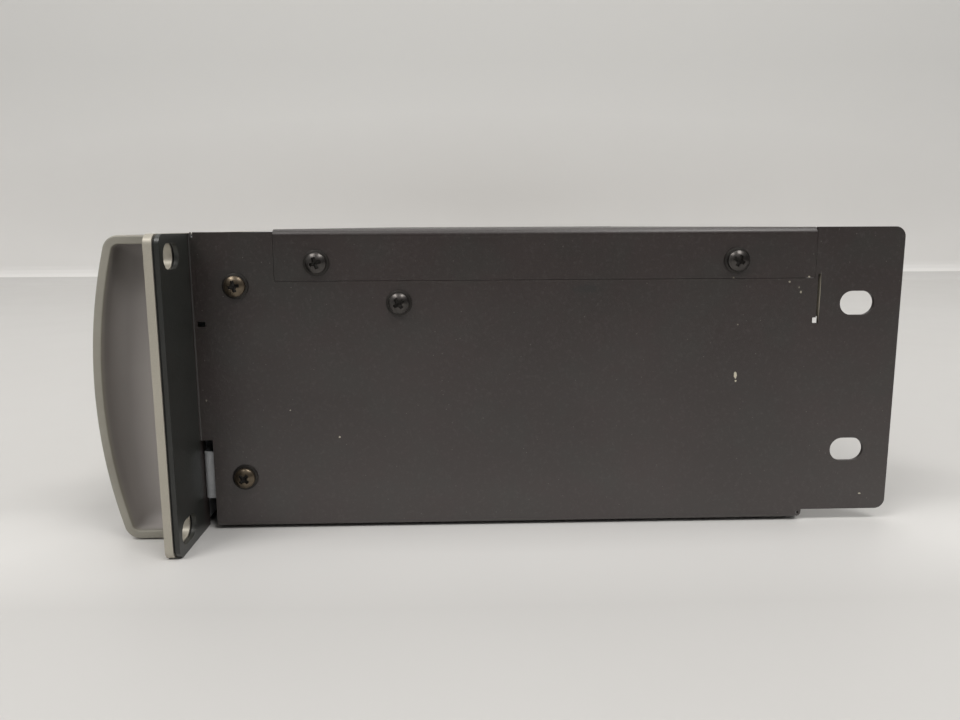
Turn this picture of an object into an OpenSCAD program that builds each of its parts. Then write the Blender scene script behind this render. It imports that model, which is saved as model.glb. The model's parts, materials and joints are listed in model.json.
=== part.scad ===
// Two-channel compressor, two rack units high, with closed wing handles and support ears at the rear.
// X runs across the rack, Y to the rear from the rack rail's face, and Z up from the middle of the panel.

/* [Front panel] */
// Width across the rack ears
panel_w = 482.6; // [482:0.1:483]
// Height of the front panel
panel_h = 88.2; // [87.8:0.1:88.6]
// Thickness of the aluminium front panel
panel_t = 2.25; // [2:0.05:2.5]
// Thickness of the bonding sheet behind the front panel
bond_t = 0.6; // [0.4:0.1:0.8]
// Distance between the rack slots across the panel
ear_pitch_x = 465.1; // [464.5:0.1:466]
// Distance between the rack slots up the panel
ear_pitch_z = 76.2; // [76:0.1:76.4]
// Rack slot from end to end
ear_slot_l = 11.8; // [10:0.1:12]
// Half the width of a rack slot
ear_slot_r = 3.5; // [3.3:0.1:3.6]

/* [Chassis] */
// Thickness of the steel sheet
sheet_t = 1.2; // [1:0.1:1.4]
// Width over the side plates
chassis_w = 436.4; // [434:0.2:437]
// Underside of the chassis
floor_z = -43.2; // [-43.4:0.1:-43]
// Top of the cover and of the rear ears
cover_z = 45; // [44.6:0.1:45.2]
// Front edge of the cover
cover_y0 = 23.8; // [23:0.2:26]
// Rear edge of the cover and of the chassis floor
cover_y1 = 180.9; // [180:0.1:181]
// Lower edge of the cover's side flanges
seam_z = 30.3; // [29:0.1:31]
// Rear edge of the rear ears
rear_ear_y = 206.7; // [205:0.1:210]
// Distance from the rack face to the middle of the rear slots
rear_slot_y = 193.75; // [192:0.05:196]
// Distance between the two rear slots of one ear
rear_slot_pitch = 44.45; // [44:0.05:45]

/* [Handles] */
// How far a handle stands in front of the panel at its middle
handle_reach = 22.35; // [20:0.05:24]
// Width of a handle
handle_w = 16; // [14:0.5:17]
// Outer face of a handle, from the middle of the unit
handle_x = 225.65; // [225:0.05:226]
// Height of a handle
handle_h = 87.3; // [86:0.1:88]
// Radius of the long arc along a handle's nose
nose_r = 153; // [150:1:160]
// Width of the rim round the scoop
handle_rim = 2.4; // [2:0.1:3]

/* [Controls] */
// Radius of a control knob
knob_r = 10.5; // [9:0.5:12]
// Length of a control knob
knob_l = 14; // [12:0.5:16]
// Distance between two knobs
knob_pitch = 32; // [31:0.5:33]
// Distance between the two channels' controls
channel_pitch = 196; // [195:0.5:197]
// Travel of a push button
button_travel = 2; // [1.5:0.1:2.5]

/* [Hidden] */
$fn = 48;

// Planes of the front sandwich, from the rack rail's face forwards
steel_front_y = -sheet_t;
bond_front_y = steel_front_y - bond_t;
panel_front_y = bond_front_y - panel_t;
side_x = chassis_w / 2;
side_in_x = side_x - sheet_t;
floor_top_z = floor_z + sheet_t;
ear_gap = 0.08;
cover_bend_r = 2;
floor_bend_r = sheet_t + 0.2;
ear_bend_r = 0.5;

// Side plate: height in front of the cover, seam slit and the places of its screws
side_top_z = 44.3;
cover_end_y = cover_y1 - 0.1;
window_top_z = -16.4;
window_y = 3.5;
relief_y = [1.2, 3.5];
relief_z = [17.3, 18.8];
notch_y = [0.6, 1.3];
notch_depth = 1.5;
slit_y = [cover_y1 + 0.8, cover_y1 + 1.6];
slit_top_z = 31.4;
relief_hole_y = [cover_y1 - 0.2, cover_y1 + 1.6];
relief_hole_z = [16.9, 18.6];
flange_gap = 0.1;
end_gap = 0.06;
ear_floor_z = -40.5;
rear_slot_mid_z = 0.6;
rear_slot_r = 3.55;
rear_slot_l = 10.2;
bracket_screw_y = 12.6;
bracket_screw_z = [29, -27.85];
cover_screw_y = [35.9, 157.45];
cover_screw_z = 35.45;
brace_y = 59.3;
brace_z = 23.8;
rail_y = [28, 164];
rail_z = [18.5, 42];

// Screws: 4 mm ones behind the panel, and 3 mm ones on the sides, inside and at the rear
big_r = 2;
big_head_r = 3.7;
big_head_h = 2.4;
side_screw_r = 1.5;
side_head_r = 3.05;
side_head_h = 2.1;
washer_r = 3.75;
washer_t = 0.5;
small_r = 1.5;
small_head_r = 2.8;
small_head_h = 1.8;
thread_gap = 0.05;

// Rear panel and what it carries
rear_y = 177.8;
rear_out_y = rear_y + sheet_t;
tab_z = 24.4;
tab_x = 210.4;
inlet_x = -165;
inlet_z = -2;
output_x = [22, 127];
input_x = [56, 161];
jack_x = [86, 191];
socket_z = 2;
xlr_r = 11.8;
jack_r = 3.25;
flange_screw_x = [-180, -60, 60, 180];
csk_r = 3;

// Front layout, measured from the left end of each channel
heatsink_y = 134;
channel_x = [-206, -206 + channel_pitch];
knob_col = 18;
knob_row_z = [25, -8];
button_z = -33;
ladder_x = 100.5;
ladder_lamps = 8;
meter_x = 148;
meter_z = 6;
link_x = 194;
link_z = 27;
rocker_z = -18;
button_hole = [10.6, 6.6];
bush_r = 3.5;
shaft_r = 3;
nut_t = 2;
pot_d = 10;
board_y = 10;
board_t = 1.6;

// Meter
bezel_w = 84;
bezel_h = 62;
meter_w = 76;
meter_h = 54;
meter_depth = 24;
window_w = 70;
window_h = 46;
pivot_drop = 19;
needle_l = 34;
needle_rest = 40;

// ---------- shapes that repeat ----------

module block(x, y, z) {
    translate([x[0], y[0], z[0]]) cube([x[1] - x[0], y[1] - y[0], z[1] - z[0]]);
}

module rod_x(r, x) {
    translate([x[0], 0, 0]) rotate([0, 90, 0]) cylinder(r = r, h = x[1] - x[0]);
}

module rod_y(r, y) {
    translate([0, y[0], 0]) rotate([-90, 0, 0]) cylinder(r = r, h = y[1] - y[0]);
}

module rounded(w, h, r) {
    square([w - 2 * r, h], center = true);
    square([w, h - 2 * r], center = true);
    for (sx = [-1, 1], sy = [-1, 1])
        translate([sx * (w / 2 - r), sy * (h / 2 - r)]) circle(r = r);
}

module slot_2d(length, r) {
    square([length - 2 * r, 2 * r], center = true);
    for (s = [-1, 1]) translate([s * (length / 2 - r), 0]) circle(r = r);
}

// A flat outline drawn in X and Z, made solid between two Y planes
module upright(y) {
    translate([0, y[1], 0]) rotate([90, 0, 0]) linear_extrude(y[1] - y[0]) children();
}

// An outline drawn in Y and Z, made solid between two X planes
module sideways(x) {
    translate([x[0], 0, 0]) rotate([90, 0, 90]) linear_extrude(x[1] - x[0]) children();
}

module both_sides() {
    children();
    mirror([1, 0, 0]) children();
}

// A pan head screw along +Z with its seat at zero
module pan_screw(r, head_r, head_h, length) {
    dome_r = 1.6 * head_r;
    recess_w = 0.28 * head_r;
    recess_l = 1.16 * head_r;
    difference() {
        intersection() {
            cylinder(r = head_r, h = head_h);
            translate([0, 0, head_h - dome_r]) sphere(r = dome_r);
        }
        for (a = [0, 90]) rotate([0, 0, a])
            translate([-recess_w / 2, -recess_l / 2, 0.35 * head_h]) cube([recess_w, recess_l, head_h]);
    }
    translate([0, 0, -length]) cylinder(r = r, h = length);
}

// A screw in a side plate, and the washer under its head
module side_screw(y, z) {
    translate([side_x, y, z]) rotate([0, 90, 0]) {
        translate([0, 0, washer_t]) pan_screw(side_screw_r, side_head_r, side_head_h, 7);
        difference() {
            cylinder(r = washer_r, h = washer_t);
            translate([0, 0, -1]) cylinder(r = side_screw_r + 0.1, h = 2);
        }
    }
}

module front_holes() {
    for (x0 = channel_x) {
        for (k = [0, 1, 2]) translate([x0 + knob_col + k * knob_pitch, 0]) {
            translate([0, knob_row_z[0]]) circle(r = bush_r + 0.2);
            translate([0, button_z]) square(button_hole, center = true);
        }
        for (k = [0, 1]) translate([x0 + knob_col + k * knob_pitch, knob_row_z[1]])
            circle(r = bush_r + 0.2);
        for (k = [0, 1, 2]) translate([x0 + lamp_x(), lamp_z(k)]) circle(r = 1.6);
        for (k = [0:ladder_lamps - 1]) translate([x0 + ladder_x, ladder_z(k)])
            square([5.2, 5], center = true);
        translate([x0 + meter_x, meter_z]) square([meter_w + 0.4, meter_h + 0.4], center = true);
    }
    translate([link_x, link_z]) square(button_hole, center = true);
    translate([link_x, link_z - 11]) circle(r = 1.6);
    translate([link_x, rocker_z]) square([13.4, 27.4], center = true);
}

function ladder_z(k) = meter_z + 7 * (k - (ladder_lamps - 1) / 2);
function lamp_x() = knob_col + 2 * knob_pitch;
function lamp_z(k) = knob_row_z[1] + 7 - 7 * k;

// ---------- casing ----------

module side_outline() {
    difference() {
        union() {
            translate([window_y, floor_z + floor_bend_r])
                square([cover_y1 - window_y, seam_z - flange_gap - floor_z - floor_bend_r]);
            translate([window_y, 0]) square([cover_y0 - ear_gap - window_y, side_top_z]);
            translate([ear_bend_r, window_top_z]) square([window_y, side_top_z - window_top_z]);
            intersection() {
                translate([rear_ear_y - 40, (cover_z + ear_floor_z) / 2])
                    rounded(80, cover_z - ear_floor_z, 3);
                translate([cover_y1 - 0.05, ear_floor_z]) square([40, cover_z - ear_floor_z]);
            }
        }
        translate([cover_end_y, seam_z - flange_gap]) square([end_gap, cover_z]);
        translate([slit_y[0], relief_hole_z[0]])
            square([slit_y[1] - slit_y[0], slit_top_z - relief_hole_z[0]]);
        translate([relief_hole_y[0], relief_hole_z[0]])
            square([relief_hole_y[1] - relief_hole_y[0], relief_hole_z[1] - relief_hole_z[0]]);
        for (s = [-1, 1]) translate([rear_slot_y, rear_slot_mid_z + s * rear_slot_pitch / 2])
            slot_2d(rear_slot_l, rear_slot_r);
        for (z = bracket_screw_z) translate([bracket_screw_y, z]) circle(r = side_screw_r + 0.1);
        translate([brace_y, brace_z]) circle(r = side_screw_r + 0.1);
    }
}

module front_ear_outline() {
    reach = panel_w / 2 - 0.2;
    inner = side_in_x - 3.2;
    half = panel_h / 2 - 0.1;
    difference() {
        intersection() {
            rounded(2 * reach, 2 * half, 3);
            translate([inner, -half]) square([reach - inner, 2 * half]);
        }
        translate([inner - 1, window_top_z]) square([side_x + ear_bend_r - inner + 1, 2 * half]);
        for (s = [-1, 1]) translate([ear_pitch_x / 2, s * ear_pitch_z / 2])
            slot_2d(ear_slot_l, ear_slot_r);
    }
}

module chassis_bend() {
    translate([side_x + ear_bend_r, ear_bend_r, window_top_z])
        linear_extrude(side_top_z - 0.3 - window_top_z) intersection() {
            difference() {
                circle(r = ear_bend_r + sheet_t);
                circle(r = ear_bend_r);
            }
            translate([-10, -10]) square([10, 10]);
        }
}

module floor_profile() {
    span = 120;
    intersection() {
        translate([0, floor_z + span / 2]) difference() {
            rounded(chassis_w, span, floor_bend_r);
            rounded(chassis_w - 2 * sheet_t, span - 2 * sheet_t, floor_bend_r - sheet_t);
        }
        translate([-side_x, floor_z]) square([chassis_w, floor_bend_r]);
    }
}

// What rounds a lower corner of the side plates off, drawn for the corner at zero that looks to +Y
module corner_waste(r) {
    difference() {
        translate([-r, -0.1]) square(r + 0.2);
        translate([-r, r]) circle(r = r);
    }
}

module chassis() {
    front_corner_r = 1;
    rear_corner_r = 2.2;
    color("#2b2a29") difference() {
        union() {
            both_sides() {
                sideways([side_in_x, side_x]) side_outline();
                upright([steel_front_y, 0]) front_ear_outline();
                chassis_bend();
                block([tab_x - 6.5, side_in_x + 0.2], [rear_out_y, rear_out_y + sheet_t],
                    [relief_hole_z[1], seam_z - 0.4]);
            }
            upright([window_y, cover_y1]) floor_profile();
        }
        both_sides() {
            translate([tab_x, 0, tab_z]) rod_y(small_r + 0.1, [rear_out_y - 1, cover_y1 + 1]);
            sideways([side_in_x - 2, side_x + 1]) {
                translate([cover_y1, floor_z]) corner_waste(rear_corner_r);
                translate([window_y, floor_z]) mirror([1, 0]) corner_waste(front_corner_r);
            }
            translate([0, cover_y1 - 1.2, floor_z + 1.7]) rod_x(0.5, [side_in_x - 2, side_x + 1]);
            block([side_in_x - 1, side_x + 1], notch_y, [side_top_z - notch_depth, side_top_z + 1]);
            block([side_in_x - 1, side_x + 1], relief_y, relief_z);
        }
        for (p = floor_screws()) translate([p[0], p[1], floor_z]) {
            translate([0, 0, -1]) cylinder(r = small_r + 0.1, h = 4);
            translate([0, 0, -0.01]) cylinder(r1 = csk_r + 0.05, r2 = small_r + 0.1, h = 1);
        }
        translate([toroid_at()[0], toroid_at()[1], floor_z]) {
            translate([0, 0, -1]) cylinder(r = 2.6, h = 4);
            translate([0, 0, -0.01]) cylinder(r1 = 4.6, r2 = 2.6, h = 1);
        }
    }
}

function floor_screws() = concat(
    [for (x = flange_screw_x) [x, rear_y - 6]],
    [for (x = board_post_x(), y = board_post_y()) [x, y]]);
function board_post_x() = [-84, 54, 192];
function board_post_y() = [70, 160];
function toroid_at() = [-155, 112];

module cover_profile() {
    span = 120;
    intersection() {
        translate([0, cover_z - span / 2]) difference() {
            rounded(chassis_w, span, cover_bend_r);
            rounded(chassis_w - 2 * sheet_t, span - 2 * sheet_t, cover_bend_r - sheet_t);
        }
        translate([-side_x, seam_z]) square([chassis_w, cover_z - seam_z]);
    }
}

module top_cover() {
    vents = 9;
    color("#2b2a29") difference() {
        upright([cover_y0, cover_end_y]) cover_profile();
        both_sides() for (y = cover_screw_y) translate([0, y, cover_screw_z])
            rod_x(side_screw_r + 0.1, [side_x - 5, side_x + 1]);
        for (bank = [-155, 130], k = [0:vents - 1])
            translate([bank + 9 * (k - (vents - 1) / 2), 118, cover_z - 3])
                linear_extrude(4) rotate(90) slot_2d(52, 1.5);
    }
}

module cover_rails() {
    color("#30302f") both_sides() difference() {
        block([side_in_x - sheet_t, side_in_x], rail_y, rail_z);
        for (y = cover_screw_y) translate([0, y, cover_screw_z])
            rod_x(side_screw_r + thread_gap, [side_x - 9, side_x]);
        translate([0, brace_y, brace_z]) rod_x(side_screw_r + 0.1, [side_x - 9, side_x]);
    }
}

module panel_outline(inset) {
    difference() {
        rounded(panel_w - 2 * inset, panel_h - 2 * inset, 3);
        front_holes();
        for (sx = [-1, 1], sz = [-1, 1])
            translate([sx * ear_pitch_x / 2, sz * ear_pitch_z / 2])
                slot_2d(ear_slot_l + 2 * inset, ear_slot_r + inset);
        for (s = [-1, 1], z = handle_screw_z()) translate([s * handle_screw_x(), z])
            circle(r = big_r + 0.1);
    }
}

function handle_screw_x() = handle_x - handle_w + 3.6;
function handle_screw_z() = [-9, 9];

module front_panel() {
    color("#b3ada0") upright([panel_front_y, bond_front_y]) panel_outline(0);
}

module bonding_sheet() {
    color("#151515") upright([bond_front_y, steel_front_y]) panel_outline(0.5);
}

module sub_panel() {
    rib_y = [9.5, 20.7];
    w = side_in_x - 3.5;
    lower_w = w - 20;
    color("#9fa3a6") difference() {
        union() {
            upright([steel_front_y, 0]) translate([-w, floor_top_z + 0.2]) square([2 * w, 85]);
            block([-w, w], [steel_front_y, 32], [42, 43.2]);
            block([-side_in_x, side_in_x], rib_y, [43, 44.2]);
            block([-lower_w, lower_w], [steel_front_y, 12], [floor_top_z + 0.05, floor_top_z + 1.25]);
        }
        upright([-3, 1]) front_holes();
        block([-w + 3, w - 3], [rib_y[0] + sheet_t, rib_y[1] - sheet_t], [41, 43]);
        for (s = [-1, 1], z = handle_screw_z())
            translate([s * handle_screw_x(), 0, z]) rod_y(big_r + 0.1, [-3, 3]);
    }
}

// ---------- handles ----------

// Outline of a handle in Y and Z, shrunk by inset: a long arc in front, round corners and a flat back
module handle_outline(inset) {
    half = handle_h / 2 - inset;
    arc_r = nose_r - inset;
    corner_r = 4.5 - inset;
    centre_y = panel_front_y - handle_reach + nose_r;
    corner_z = half - corner_r;
    corner_y = centre_y - sqrt(pow(arc_r - corner_r, 2) - corner_z * corner_z);
    meet_z = corner_z * arc_r / (arc_r - corner_r);
    back_y = panel_front_y - (inset > 0 ? 2 : 0);
    intersection() {
        translate([centre_y, 0]) circle(r = arc_r);
        translate([centre_y - arc_r, -meet_z]) square([back_y - centre_y + arc_r, 2 * meet_z]);
    }
    translate([corner_y, -half]) square([back_y - corner_y, 2 * half]);
    for (s = [-1, 1]) translate([corner_y, s * corner_z]) circle(r = corner_r);
}

module handle() {
    scoop_depth = 8;
    inner_x = handle_x - handle_w;
    color("#8d8a80") difference() {
        sideways([inner_x, handle_x]) handle_outline(0);
        sideways([handle_x - scoop_depth, handle_x + 1]) handle_outline(handle_rim);
        for (z = handle_screw_z()) translate([handle_screw_x(), 0, z])
            rod_y(big_r + thread_gap, [panel_front_y - 8, panel_front_y + 1]);
    }
}

module handle_right() {
    handle();
}

module handle_left() {
    mirror([1, 0, 0]) handle();
}

module handle_screws() {
    color("#8a8d90") both_sides() for (z = handle_screw_z()) translate([handle_screw_x(), 0, z])
        rotate([-90, 0, 0]) pan_screw(big_r, big_head_r, big_head_h, 11);
}

// ---------- brackets and fasteners of the sides ----------

module front_bracket(z) {
    t = 1.4;
    half = 7.15;
    reach = 20;
    corner_r = 1.6;
    color("#a9adb2") difference() {
        translate([side_in_x, 0, z + 0.4 - half]) linear_extrude(2 * half) difference() {
            union() {
                translate([-14, 0.02]) square([14 - corner_r, t]);
                translate([-t, corner_r]) square([t, reach - corner_r]);
                intersection() {
                    translate([-corner_r, corner_r]) circle(r = corner_r - 0.02);
                    translate([-corner_r, 0]) square([corner_r, corner_r]);
                }
            }
            translate([-t - 3, t]) square([3, 3]);
        }
        translate([0, bracket_screw_y, z]) rod_x(side_screw_r + thread_gap, [side_x - 9, side_x]);
    }
}

module front_brackets() {
    both_sides() for (z = bracket_screw_z) front_bracket(z);
}

module bracket_screws() {
    color("#8f7f5a") both_sides() for (z = bracket_screw_z) side_screw(bracket_screw_y, z);
}

module cover_screws() {
    color("#1b1b1b") both_sides() for (y = cover_screw_y) side_screw(y, cover_screw_z);
}

module brace_screws() {
    color("#1b1b1b") both_sides() side_screw(brace_y, brace_z);
}

module cross_brace() {
    half = side_in_x - sheet_t;
    color("#a9adb2") difference() {
        translate([-half, brace_y, brace_z]) rotate([0, 90, 0]) cylinder(r = 6, h = 2 * half, $fn = 6);
        translate([0, brace_y, brace_z]) both_sides()
            rod_x(side_screw_r + thread_gap, [half - 12, half + 1]);
    }
}

// ---------- rear panel ----------

module rear_panel() {
    w = side_in_x - 0.6;
    color("#2b2a29") difference() {
        union() {
            block([-w, w], [rear_y, rear_out_y], [floor_top_z + 0.05, cover_z - sheet_t - 0.2]);
            block([-w, w], [rear_y - 12, rear_out_y], [floor_top_z + 0.05, floor_top_z + 1.25]);
            block([-w, w], [rear_y - 10, rear_out_y],
                [cover_z - 2 * sheet_t - 0.2, cover_z - sheet_t - 0.2]);
        }
        for (x = concat(output_x, input_x)) translate([x, 0, socket_z]) {
            rod_y(xlr_r + 0.1, [rear_y - 1, rear_out_y + 1]);
            for (s = [-1, 1])
                translate([s * 9.5, 0, s * 12]) rod_y(small_r + thread_gap, [rear_y - 1, rear_out_y + 1]);
        }
        for (x = jack_x) translate([x, 0, socket_z]) rod_y(5.1, [rear_y - 1, rear_out_y + 1]);
        upright([rear_y - 1, rear_out_y + 1]) translate([inlet_x, inlet_z])
            square([27.6, 38], center = true);
        for (s = [-1, 1]) translate([inlet_x + 20 * s, 0, inlet_z])
            rod_y(small_r + thread_gap, [rear_y - 1, rear_out_y + 1]);
        both_sides() translate([tab_x, 0, tab_z])
            rod_y(small_r + thread_gap, [rear_y - 1, rear_out_y + 1]);
        for (x = flange_screw_x)
            translate([x, rear_y - 6, floor_z]) cylinder(r = small_r + thread_gap, h = 8);
    }
}

module rear_screw(x, y, z) {
    translate([x, y, z]) rotate([-90, 0, 0]) pan_screw(small_r, small_head_r, small_head_h, 5);
}

module csk_screw(length) {
    cylinder(r1 = csk_r, r2 = small_r, h = 0.95);
    translate([0, 0, 0.5]) cylinder(r = small_r, h = length);
}

module rear_panel_screws() {
    flange_y = rear_out_y + 1.6;
    color("#1b1b1b") {
        both_sides() rear_screw(tab_x, rear_out_y + sheet_t, tab_z);
        for (x = concat(output_x, input_x), s = [-1, 1])
            rear_screw(x + 9.5 * s, flange_y, socket_z + 12 * s);
        for (s = [-1, 1]) rear_screw(inlet_x + 20 * s, flange_y, inlet_z);
        for (x = flange_screw_x) translate([x, rear_y - 6, floor_z + 0.02]) csk_screw(4.5);
    }
}

// ---------- meters ----------

module for_channels() {
    for (x0 = channel_x) translate([x0, 0, 0]) children();
}

module meter_case() {
    front_y = panel_front_y - 3.4;
    lens_seat_y = panel_front_y - 1.2;
    wall = 2;
    pivot_z = -pivot_drop;
    color("#1c1c1c") {
        difference() {
            union() {
                upright([front_y, panel_front_y]) rounded(bezel_w, bezel_h, 3);
                block([-meter_w / 2, meter_w / 2], [panel_front_y - 0.2, meter_depth],
                    [-meter_h / 2, meter_h / 2]);
            }
            upright([front_y - 1, lens_seat_y]) square([window_w, window_h], center = true);
            upright([front_y + 0.9, lens_seat_y]) square([window_w + 2.4, window_h + 2.4], center = true);
            upright([lens_seat_y - 1, meter_depth - wall])
                square([meter_w - 2 * wall - 1, meter_h - 2 * wall - 1], center = true);
        }
        difference() {
            block([-18, 18], [1.8, meter_depth - wall], [pivot_z - 4.6, pivot_z + 28]);
            translate([0, 0, pivot_z]) rod_y(0.75, [1, 12]);
        }
    }
}

module meter_cases() {
    for_channels() translate([meter_x, 0, meter_z]) meter_case();
}

module meter_dials() {
    color("#efe6c8") for_channels() translate([meter_x, 0, meter_z]) difference() {
        upright([1.2, 1.8]) square([window_w + 0.8, window_h + 2.8], center = true);
        translate([0, 0, -pivot_drop]) rod_y(1.3, [0, 3]);
    }
}

module meter_lenses() {
    seat_y = panel_front_y - 2.5;
    color([0.85, 0.92, 0.95, 0.35]) for_channels()
        upright([seat_y, seat_y + 1.2]) translate([meter_x, meter_z])
            square([window_w + 2.2, window_h + 2.2], center = true);
}

module needle(x0) {
    hub_y = [-1.8, -0.6];
    color("#b02a20") translate([x0 + meter_x, 0, meter_z - pivot_drop]) rotate([0, -needle_rest, 0]) {
        rod_y(2.6, hub_y);
        block([-0.3, 0.3], [-1.5, -1.0], [2, needle_l]);
        block([-0.8, 0.8], [-1.6, -0.9], [-5, -2]);
    }
    color("#8a8d90") translate([x0 + meter_x, 0, meter_z - pivot_drop]) rod_y(0.7, [-0.6, 9]);
}

module needle_1() {
    needle(channel_x[0]);
}

module needle_2() {
    needle(channel_x[1]);
}

// ---------- knobs, buttons and what they work ----------

module knob(channel, col, row, angle) {
    back_y = panel_front_y - 0.8;
    front_y = back_y - knob_l;
    flutes = 16;
    x = channel_x[channel] + knob_col + col * knob_pitch;
    translate([x, 0, knob_row_z[row]]) rotate([0, angle, 0]) {
        color("#26262a") difference() {
            union() {
                rod_y(knob_r, [back_y - 3, back_y]);
                upright([front_y, back_y - 2]) difference() {
                    circle(r = knob_r - 1.3);
                    for (k = [0:flutes - 1]) rotate(k * 360 / flutes + 360 / flutes / 2)
                        translate([knob_r - 0.9, 0]) circle(r = 1);
                }
            }
            rod_y(knob_r - 3.4, [back_y - nut_t - 1.6, back_y + 1]);
            rod_y(shaft_r, [back_y - 11, back_y + 1]);
            block([-0.5, 0.5], [front_y - 1, front_y + 0.6], [3, knob_r]);
        }
        color("#c9ccd0") rod_y(shaft_r - 0.02, [back_y - 10.8, pot_d - 2]);
    }
}

module threshold_knob_1() knob(0, 0, 0, 0);
module ratio_knob_1() knob(0, 1, 0, 0);
module gain_knob_1() knob(0, 2, 0, 0);
module attack_knob_1() knob(0, 0, 1, 0);
module release_knob_1() knob(0, 1, 1, 0);
module threshold_knob_2() knob(1, 0, 0, 0);
module ratio_knob_2() knob(1, 1, 0, 0);
module gain_knob_2() knob(1, 2, 0, 0);
module attack_knob_2() knob(1, 0, 1, 0);
module release_knob_2() knob(1, 1, 1, 0);

module for_knobs() {
    for_channels() {
        for (k = [0, 1, 2]) translate([knob_col + k * knob_pitch, 0, knob_row_z[0]]) children();
        for (k = [0, 1]) translate([knob_col + k * knob_pitch, 0, knob_row_z[1]]) children();
    }
}

module potentiometers() {
    nut_front_y = panel_front_y - nut_t;
    color("#3f4a52") for_knobs() difference() {
        union() {
            block([-8, 8], [0.02, pot_d - 0.02], [-8, 8]);
            rod_y(bush_r, [nut_front_y - 0.4, 0.02]);
        }
        rod_y(shaft_r + 0.05, [nut_front_y - 2, pot_d - 1.5]);
    }
}

module pot_nuts() {
    color("#c9ccd0") for_knobs() difference() {
        translate([0, panel_front_y, 0]) rotate([90, 0, 0]) cylinder(r = 5.6, h = nut_t, $fn = 6);
        rod_y(bush_r + 0.03, [panel_front_y - 3, panel_front_y + 1]);
    }
}

module button(x, z) {
    front_y = panel_front_y - 4.5;
    stem_y = 3;
    translate([x, 0, z]) {
        color("#d8d5cb") upright([front_y, 0.6]) rounded(10, 6, 0.8);
        color("#1c1c1c") block([-1.5, 1.5], [0.6, stem_y + 1], [-1.5, 1.5]);
    }
}

module channel_button(channel, k) {
    button(channel_x[channel] + knob_col + k * knob_pitch, button_z);
}

module bypass_button_1() channel_button(0, 0);
module sidechain_button_1() channel_button(0, 1);
module auto_button_1() channel_button(0, 2);
module bypass_button_2() channel_button(1, 0);
module sidechain_button_2() channel_button(1, 1);
module auto_button_2() channel_button(1, 2);
module link_button() button(link_x, link_z);

module button_switch() {
    front_y = 0.6 + button_travel + 0.3;
    color("#20262b") difference() {
        block([-5, 5], [front_y, pot_d - 0.02], [-3.6, 3.6]);
        block([-1.8, 1.8], [front_y - 1, pot_d - 1.5], [-1.8, 1.8]);
    }
}

module button_switches() {
    for_channels() for (k = [0, 1, 2]) translate([knob_col + k * knob_pitch, 0, button_z]) button_switch();
    translate([link_x, 0, link_z]) button_switch();
}

// The rocker is drawn with its lower half pressed in
module power_rocker() {
    tilt = 9;
    axle_y = panel_front_y + 3;
    color("#141414") translate([link_x, axle_y, rocker_z]) rotate([tilt, 0, 0]) difference() {
        intersection() {
            block([-4.6, 4.6], [-8.5, 1.4], [-10.2, 10.2]);
            rod_x(10.9, [-5, 5]);
            translate([0, 13.4, 0]) rod_x(20.6, [-5, 5]);
        }
        rod_x(1.05, [-5, 5]);
    }
}

module power_switch_case() {
    axle_y = panel_front_y + 3;
    color("#141414") translate([link_x, 0, rocker_z]) difference() {
        union() {
            upright([panel_front_y - 1.6, panel_front_y]) rounded(16, 30, 1.5);
            block([-6.5, 6.5], [panel_front_y - 0.1, 21], [-13.5, 13.5]);
        }
        block([-5, 5], [panel_front_y - 3, 8], [-11.8, 11.8]);
    }
    color("#8a8d90") translate([link_x, axle_y, rocker_z]) rod_x(1, [-5, 5]);
}

module control_board() {
    color("#1f4d36") difference() {
        block([-204, 204], [board_y, board_y + board_t], [-40, 41]);
        for_channels() block([meter_x - meter_w / 2 - 1, meter_x + meter_w / 2 + 1],
            [board_y - 1, board_y + 3], [meter_z - meter_h / 2 - 1, meter_z + meter_h / 2 + 1]);
        block([link_x - 7.5, link_x + 7.5], [board_y - 1, board_y + 3],
            [rocker_z - 14.5, rocker_z + 14.5]);
    }
}

module gain_leds() {
    color("#d04a2a") for_channels() for (k = [0:ladder_lamps - 1]) translate([ladder_x, 0, ladder_z(k)])
        block([-2.5, 2.5], [panel_front_y - 0.5, board_y - 0.02], [-2.4, 2.4]);
}

module indicator_led() {
    rod_y(1.5, [-panel_t - 3, 8]);
    rod_y(1.9, [1.2, 4]);
    rod_y(0.8, [8, board_y - 0.02]);
}

module indicator_leds() {
    color("#3fae49") {
        for_channels() for (k = [0, 1, 2]) translate([lamp_x(), 0, lamp_z(k)]) indicator_led();
        translate([link_x, 0, link_z - 11]) indicator_led();
    }
}

// ---------- inside ----------

module main_board() {
    z0 = floor_top_z + 6;
    color("#1f4d36") difference() {
        block([-92, 200], [62, 168], [z0, z0 + board_t]);
        for (x = board_post_x(), y = board_post_y()) translate([x, y, z0 - 1])
            cylinder(r = small_r + 0.1, h = 4);
    }
}

module board_components() {
    z0 = floor_top_z + 6 + board_t;
    chips = 6;
    color("#26282b") {
        for (i = [0:chips - 1], j = [0, 1]) translate([38 * i - 40, 84 + 24 * j, z0]) {
            block([-9.5, 9.5], [-3.2, 3.2], [0.3, 4]);
            for (k = [0:6], s = [-1, 1]) translate([2.54 * (k - 3), 3.45 * s, 0])
                block([-0.25, 0.25], [-0.35, 0.35], [0, 2]);
        }
        for (x = [28, 150, 176]) block([x - 10, x + 10], [126, 136], [z0, z0 + 12]);
    }
    color("#2f4f7a") for (i = [0:chips]) translate([-58 + i * 38, 96, z0]) cylinder(r = 4, h = 11);
}

module board_standoffs() {
    color("#b5a26a") for (x = board_post_x(), y = board_post_y()) translate([x, y, 0]) {
        difference() {
            translate([0, 0, floor_top_z]) cylinder(r = 3.2, h = 6, $fn = 6);
            translate([0, 0, floor_top_z - 1]) cylinder(r = small_r + thread_gap, h = 8);
        }
        translate([0, 0, floor_z + 0.02]) csk_screw(3.4);
        translate([0, 0, floor_top_z + 6 + board_t]) pan_screw(small_r, small_head_r, small_head_h, 3.5);
    }
}

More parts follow.
